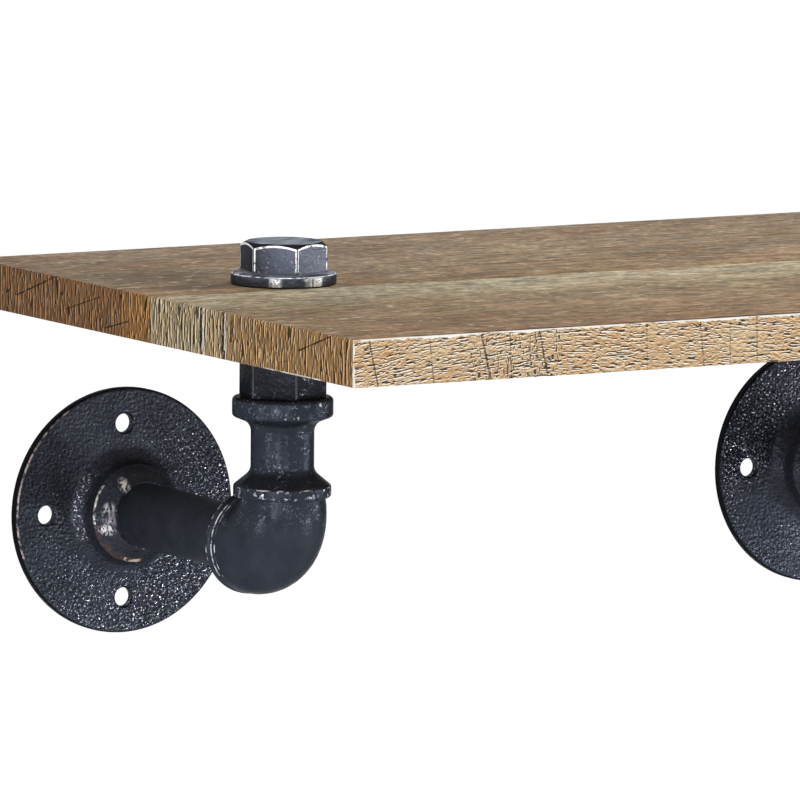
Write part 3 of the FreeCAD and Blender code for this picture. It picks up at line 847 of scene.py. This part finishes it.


# %% [markdown]
# The cap is handled and wrenched, so its skin is worn to a paler grey. Painted shade darkens its
# flats towards the board's end, the crown is darker, and painted highlights lie on the ring's
# rim, in patches round its side and in pale streaks across the top.

# %% Cap iron
def cap_iron():
    """The cap: pale grey, with painted shade towards the board's end, ring and crown darker, and
    painted highlights.
    """
    finish, shader, place, tone, _ = black_iron(
        "scuffed_black_iron_cap", "#e6e6e6", "#ffffff", pebble=0.9, depth=0.04)
    off, _, height, step = off_centre(place)
    # painted shade: the flats darken towards the board's end
    side = add("MapRange", [off, -12, 14])
    flats = add("ValToRGB", [side], stops=[
        (0, "#868c9c"), (0.45, "#787e90"), (0.75, "#686e7e"), (1, "#3a3b42")])
    tone = paint(tone, flats, how="MULTIPLY")
    specks = grain(place, (0.9, 0.9, 0.9), 0.65, 0.73, detail=2)
    tone = paint(tone, "#d0d4dc", specks, 0.5)
    facing = add("NewGeometry").outputs["True Normal"]
    rise = add("SeparateXYZ", [facing]).outputs["Z"]
    level = add("Math", [rise, 0.95], operation="GREATER_THAN")
    # pale wiped streaks on the top face, painted light enough to stand in for its highlights
    wiped_streak_highlight = paint("#444853", "#b4bac8", grain(place, (12, 3, 9), 0.4, 0.65, shift=(2, 5, 1)))
    tone = paint(tone, wiped_streak_highlight, level)
    crown = add("Math", [rise, 0.866, 0.06], operation="COMPARE")  # a cone of 30 degrees
    tone = paint(tone, "#232429", crown)
    ring = add("Math", [height, 90.2], operation="LESS_THAN")
    tone = paint(tone, "#4c5059", ring)
    # painted highlights: bright streaked patches at given turns round the ring's side
    around = add("Math", [step, off], operation="ARCTAN2")
    turn = add("MapRange", [around, -math.pi, math.pi])
    ring_highlight_turns = add("ValToRGB", [turn], stops=[
        (0.0, 0.0), (0.2, 0.0), (0.21, 1.0), (0.24, 1.0), (0.27, 0.0), (0.335, 0.0),
        (0.345, 1.0), (0.37, 1.0), (0.38, 0.0), (0.7, 0.0), (0.72, 1.0), (0.76, 1.0),
        (0.79, 0.0)])
    streak = grain(place, (1.2, 1.2, 8), 0.3, 0.6, shift=(5, 1, 1))
    rim = reach(off, step)
    bright = between(((height, 87, 89.9), (rim, 17.0, 17.2)), ring_highlight_turns, streak)
    tone = paint(tone, "#fafbff", bright)
    # painted highlight: a broken bright line along the ring's top edge
    broken = grain(place, (3, 3, 3), 0.4, 0.5, shift=(7, 2, 9))
    worn = between(((height, 89.9, 90.5), (rim, 16.5, 17.2)), broken)
    tone = paint(tone, "#f2f4f8", worn)
    rough = add("MapRange", [ring, 0, 1, 0.42, 0.25])
    wire(shader, {"Base Color": tone, "Roughness": rough})
    return finish


# %% [markdown]
# Along the corners of cap and sleeve the skin is rubbed off in narrow lines, which are faces
# of their own in the mesh. Under the board sits the core, plain pressed wood chips.

# %% Bare iron and raw core
def bare_iron(name, shade, dull, foot, corner):
    """Iron rubbed bright along an edge, broken by spots of the old skin, dull below the height
    foot and further than corner from the riser's axis."""
    finish, shader, place = new_finish(name)
    off, _, height, step = off_centre(place)
    start = add("MapRange", [height, foot, foot + 0.6, -1, 0])
    worn = grain(place, (1.6, 1.6, 2.4), 0.34, 0.46)
    worn = add("Math", [worn, start], operation="ADD")
    gap = add("MapRange", [reach(off, step), corner, corner + 0.03])
    tone = paint(paint(dull, shade, worn), "#0c0d10", gap)
    wire(shader, {"Base Color": tone, "Roughness": 0.4, "Metallic": 0.6})
    return finish


def raw_core():
    """Pressed chips, about 3 mm long and pale: matt and fibrous."""
    finish, shader, place = new_finish("raw_chipboard")
    chips = grain(place, (3, 3, 1.2), 0.35, 0.65)
    wire(shader, {"Base Color": paint("#a88a62", "#d2b78c", chips), "Roughness": 0.8})
    return finish


pebbled = flange_iron()
elbow_iron = fitting_iron("oxide_black_elbow", "#2e3239", "#393d46", (
    ("Y", -89.3, -88.8, 16.8, 1.5, 0.5), ("Y", -92.3, -91.3, 16.3, 2, 0.36),
    ("Y", -94.4, -93.8, 16.2, 3, 0.5)))
spool_iron = fitting_iron("oxide_black_spool", "#2b2f37", "#373b44", (
    ("Z", 25.4, 26.8, 10.2, 1.7, 0.62), ("Z", 20.6, 21.0, 15, 5, 0.52),
    ("Z", 17.6, 20.6, 15.6, 1.8, 0.58), ("Z", 44, 49.4, 16.2, 1.8, 0.64)))
sleeve_iron = fitting_iron("oxide_black_hexagon_bar", "#1d1f24", "#26282d", ())
head_iron = cap_iron()
edge_iron = bare_iron("bare_iron_cap_edges", "#fbfbfd", "#4a4d55", foot=91.2, corner=14.37)
sleeve_edge = bare_iron("bare_iron_sleeve_edges", "#363940", "#1d1f24", foot=50, corner=40)
pipe_black = black_iron("oxide_black_drawn_pipe", "#2e3138", "#363a42", 0.8, 0.02)[0]
face, end, front, core = face_print(), end_print(), front_print(), raw_core()
print("finishes:", ", ".join(sorted(finish.name for finish in bpy.data.materials)))

# %% [markdown]
# ## Dress the pieces
# A piece that is new gets its finish as its material; the CAD nodes that stay are already the
# right shape, so only their slots change.

# %% Assign finishes
for piece, *coats in ((flange, pebbled), (elbow, elbow_iron), (spool, spool_iron),
                      (sleeve, sleeve_iron, sleeve_edge), (cap, head_iron, edge_iron),
                      *zip(bands, (end, end, front, front))):
    for finish in coats:
        piece.data.materials.append(finish)
worn_edges(sleeve, 0.35, 40, 1)
frame_flats(cap, 0.66, 90.5, 1)
worn_edges(cap, 0.34, 20, 0)
finish_shading(sleeve)
finish_shading(cap)

for node, finish in (("left_wall_nipple", pipe_black), ("right_wall_nipple", pipe_black),
                     ("top_laminate", face), ("bottom_laminate", face), ("board_core", core)):
    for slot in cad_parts[node].material_slots:
        slot.material = finish

# %% [markdown]
# ## The right bracket
# The right bracket is the left one moved along the board. The hexagons are mirrored, so their
# normals are made to face outwards again.

# %% Copy to the right
def copy_right(piece, name, mirrored=False):
    """A copy with its own mesh, one bracket step to the right."""
    pick(piece)
    bpy.ops.object.duplicate(linked=False)
    twin = bpy.context.object
    twin.name = twin.data.name = name
    bpy.ops.object.mode_set(mode="EDIT")
    bpy.ops.mesh.select_all(action="SELECT")
    if mirrored:
        bpy.ops.transform.resize(value=(-1, 1, 1), center_override=(0, 0, 0))
        bpy.ops.mesh.normals_make_consistent(inside=False)
    else:
        bpy.ops.transform.translate(value=(2 * BRACKET_AT * MM, 0, 0))
    bpy.ops.object.mode_set(mode="OBJECT")
    return twin


pieces = [
    (flange, "left_wall_flange", "cast_flange"),
    (elbow, "left_elbow", "cast_fitting"),
    (spool, "left_riser_spool", "cast_fitting"),
    (sleeve, "left_hex_sleeve", "cast_fitting"),
    (cap, "left_flanged_cap", "cap_iron"),
    (bands[0], "left_edge_band", "end_print"),
    (bands[1], "right_edge_band", "end_print"),
    (bands[2], "front_edge_band", "front_print"),
    (bands[3], "rear_edge_band", "front_print")]
for piece, node, material in pieces[:5]:
    twin = copy_right(piece, piece.name.replace("left", "right"),
                      mirrored=piece in (sleeve, cap))
    pieces.append((twin, node.replace("left", "right"), material))

for piece, node, material in pieces:
    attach(piece, "root")
    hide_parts(node)
    print(piece.name, "stands for", node)

# %% [markdown]
# ## Studio
# A wide pale floor far below, white surroundings that only the eye and the reflections see, a
# plain half-bright sky for everything else, and a few soft lamps that shape the black iron.

# %% World and floor
WHITE = (1, 1, 1, 1)


def seen():
    """1 for what the eye, a mirror or glass looks at, 0 for the light that falls on things."""
    rays = add("LightPath").outputs
    either = add("Math", [rays["Is Camera Ray"], rays["Is Glossy Ray"]], operation="MAXIMUM")
    return add("Math", [either, rays["Is Transmission Ray"]], operation="MAXIMUM")


world = bpy.data.worlds.new("studio")
bpy.context.scene.world = world
begin(world)
plain, white = (add("Background", [WHITE, strength]) for strength in (0.5, 1.0))
both = add("MixShader", [seen(), plain, white])
add("OutputWorld", [both])

start_clean()
bpy.ops.mesh.primitive_plane_add(size=400, location=(0, 0, -0.9))
floor = name_it("floor")
paper, matt, _ = new_finish("white_floor")
glow = add("Math", [seen(), 0.6], operation="MULTIPLY")
wire(matt, {"Base Color": (0.8, 0.8, 0.8, 1), "Roughness": 0.9, "Emission Color": WHITE,
            "Emission Strength": glow})
under = add("NewGeometry").outputs["Backfacing"]
sheet = add("MixShader", [under, matt, add("BsdfTransparent")])
wire(tree.nodes["Material Output"], {"Surface": sheet})
floor.data.materials.append(paper)


# %% [markdown]
# A soft box is an area lamp that looks at the object. Its power is worked out from the light
# that it has to lay on a surface that faces it.

# %% Lamps
TARGET = Vector((-0.05, -0.1, 0.04))


def soft_box(name, azimuth, elevation, distance, width, height, radiance):
    """A flat lamp; radiance is how bright it looks, where 1 is white paper."""
    a, e = math.radians(azimuth), math.radians(elevation)
    toward = Vector((math.sin(a) * math.cos(e), -math.cos(a) * math.cos(e), math.sin(e)))
    lamp = bpy.data.lights.new(name, "AREA")
    lamp.shape = "RECTANGLE"
    lamp.size, lamp.size_y = width, height
    lamp.energy = radiance * math.pi * width * height
    holder = bpy.data.objects.new(name, lamp)
    bpy.context.collection.objects.link(holder)
    holder.location = TARGET + toward * distance
    holder.rotation_euler = (-toward).to_track_quat("-Z", "Y").to_euler()
    print(name, "adds", round(radiance * width * height / (math.pi * distance ** 2), 3),
          "to white")


for lamp in (("right_box", 68, 2, 2.2, 0.9, 0.9, 4.5),
             ("left_box", -47, -4, 1.8, 0.5, 0.5, 7),
             ("low_left_box", -80, -14, 1.6, 0.3, 0.3, 9),
             ("front_strip", -18, -4, 1.9, 0.1, 0.5, 16),
             ("top_box", 0, 70, 2.0, 1.2, 1.2, 3.2),
             ("glint_lamp", 41, -22, 1.4, 0.12, 0.12, 60),
             ("high_glint_lamp", 14, 6, 1.6, 0.12, 0.12, 25)):
    soft_box(*lamp)


# %% [markdown]
# ## Camera
# The lens is very long, so the board's edges run almost parallel. The camera's place is worked
# out from where the centre of the left flange falls in the square frame.

# %% Camera
FRAME_PIXELS = 800
FOCAL = 12000.0  # in pixels
AZIMUTH, ELEVATION, ROLL = (math.radians(v) for v in (30.14636, 7.09754, 0.462482))
MARK_X, MARK_Y = 119.52733, 508.98924  # where the left flange's centre falls, in pixels
RANGE = 3.9742  # from the eye to that centre, in metres
ahead = Vector((math.sin(AZIMUTH) * math.cos(ELEVATION), math.cos(AZIMUTH) * math.cos(ELEVATION),
                -math.sin(ELEVATION)))
level_right = ahead.cross(UP).normalized()
level_up = level_right.cross(ahead)
right = math.cos(ROLL) * level_right + math.sin(ROLL) * level_up
up = -math.sin(ROLL) * level_right + math.cos(ROLL) * level_up
aside, above = ((mark_at - FRAME_PIXELS / 2) / FOCAL * RANGE for mark_at in (MARK_X, MARK_Y))
eye = WALL - right * aside + up * above - ahead * RANGE
lens = bpy.data.cameras.new("camera")
lens.sensor_width = 36
lens.lens = FOCAL / FRAME_PIXELS * lens.sensor_width
lens.clip_end = 1000
camera = bpy.data.objects.new("camera", lens)
bpy.context.collection.objects.link(camera)
camera.matrix_world = Matrix((
    (right.x, up.x, -ahead.x, eye.x), (right.y, up.y, -ahead.y, eye.y),
    (right.z, up.z, -ahead.z, eye.z), (0, 0, 0, 1)))
bpy.context.scene.camera = camera
print("camera at", [round(v, 3) for v in eye])

# %% Colour, then the end
bpy.context.scene.view_settings.view_transform = "Standard"
